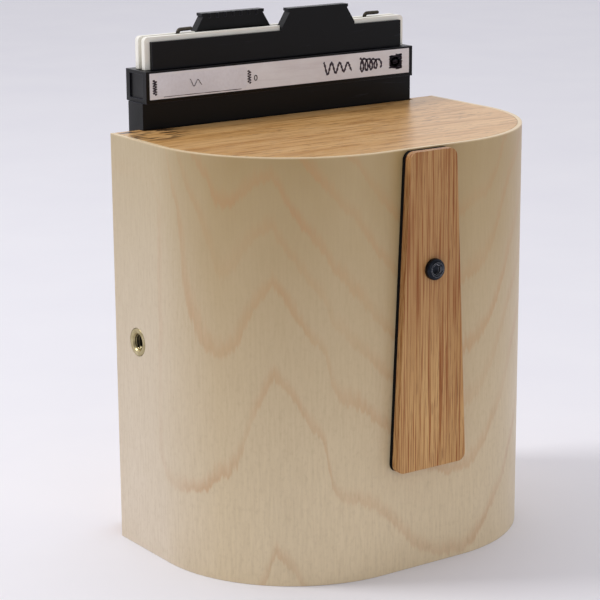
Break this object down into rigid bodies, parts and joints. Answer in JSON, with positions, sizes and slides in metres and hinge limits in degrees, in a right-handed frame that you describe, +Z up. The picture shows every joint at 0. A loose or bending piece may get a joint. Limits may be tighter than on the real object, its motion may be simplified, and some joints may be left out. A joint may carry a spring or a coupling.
{
  "type": "pinhole camera",
  "caption": "Bent-plywood sheet-film pinhole camera with a round-cornered front, swinging wooden shutter lever, tripod sockets and a lift-out double film holder.",
  "frame": {"origin": "mouth of the tripod socket in the middle of the underside", "axes": "+Z up; -Y is the front with the shutter lever; +X is to the right as seen from the front"},
  "size_m": [0.144, 0.1083, 0.1892],
  "materials": {
    "birch_plywood": "pale birch veneer under satin oil",
    "oak": "golden oak under satin varnish",
    "red_oak": "striped red oak, oiled",
    "birch_block": "sanded birch",
    "black_painted_wood": "matt black paint",
    "black_felt": "self-adhesive felt",
    "black_cloth_tape": "woven tape",
    "brass": "turned",
    "black_aluminium": "matt black",
    "zinc_steel": "bright zinc",
    "spring_steel": "rolled",
    "black_steel": "black oxide",
    "hook_steel": "worn wire",
    "black_plastic": "moulded, slightly glossy",
    "black_sheet": "fine matt sheet",
    "white_plastic": "aged white",
    "white_label": "matt writing surface",
    "paper": "thin paper",
    "film": "sheet film"
  },
  "bodies": {
    "camera_body": {"plywood_wrap": "birch_plywood", "top_plate": "oak", "bottom_plate": "oak", "side_post_left": "birch_block", "side_post_right": "birch_block", "film_gate": "black_painted_wood", "gate_felt": "black_felt", "front_backing": "black_painted_wood", "pinhole_shim": "brass", "pinhole_plate": "black_aluminium", "pinhole_plate_screws": "zinc_steel", "side_tripod_socket": "brass", "bottom_tripod_socket": "brass", "holder_ledge": "birch_block", "back_rail_left": "birch_block", "back_rail_right": "birch_block", "back_board": "birch_plywood", "back_board_screws": "zinc_steel", "leaf_spring_left": "spring_steel", "leaf_spring_right": "spring_steel", "spring_rivets": "zinc_steel", "pivot_screw": "black_steel", "pivot_washer": "zinc_steel", "pivot_lock_nut": "zinc_steel"},
    "shutter": {"shutter_lever": "red_oak", "lever_felt": "black_felt"},
    "film_holder": {"holder_frame": "black_plastic", "holder_septum": "black_aluminium", "film_sheet_front": "film", "film_sheet_back": "film", "slide_light_seals": "black_felt", "loading_flap": "black_plastic", "flap_hinge_tape": "black_cloth_tape", "front_label": "white_label", "back_label": "white_label", "label_note": "paper"},
    "front_dark_slide": {"front_slide_sheet": "black_sheet", "front_slide_rim": "white_plastic", "front_slide_handle": "black_plastic"},
    "back_dark_slide": {"back_slide_sheet": "black_sheet", "back_slide_rim": "white_plastic", "back_slide_handle": "black_plastic"},
    "left_lock_hook": {"lock_hook_left": "hook_steel"},
    "right_lock_hook": {"lock_hook_right": "hook_steel"}
  },
  "joints": [
    {"name": "shutter_swing", "type": "hinge", "parent": "camera_body", "child": "shutter", "pos_m": [0, -0.0472, 0.109], "axis": [0, 1, 0], "continuous": true},
    {"name": "holder_lift", "type": "slide", "parent": "camera_body", "child": "film_holder", "axis": [0, 0, 1], "range_m": [0, 0.15]},
    {"name": "front_slide_pull", "type": "slide", "parent": "film_holder", "child": "front_dark_slide", "axis": [0, 0, 1], "range_m": [0, 0.166]},
    {"name": "back_slide_pull", "type": "slide", "parent": "film_holder", "child": "back_dark_slide", "axis": [0, 0, 1], "range_m": [0, 0.166]},
    {"name": "left_hook_turn", "type": "hinge", "parent": "film_holder", "child": "left_lock_hook", "pos_m": [-0.0415, 0.04715, 0.1738], "axis": [0, 0, 1], "range_deg": [-98, 82]},
    {"name": "right_hook_turn", "type": "hinge", "parent": "film_holder", "child": "right_lock_hook", "pos_m": [0.0415, 0.04715, 0.1738], "axis": [0, 0, 1], "range_deg": [-90, 90]}
  ]
}
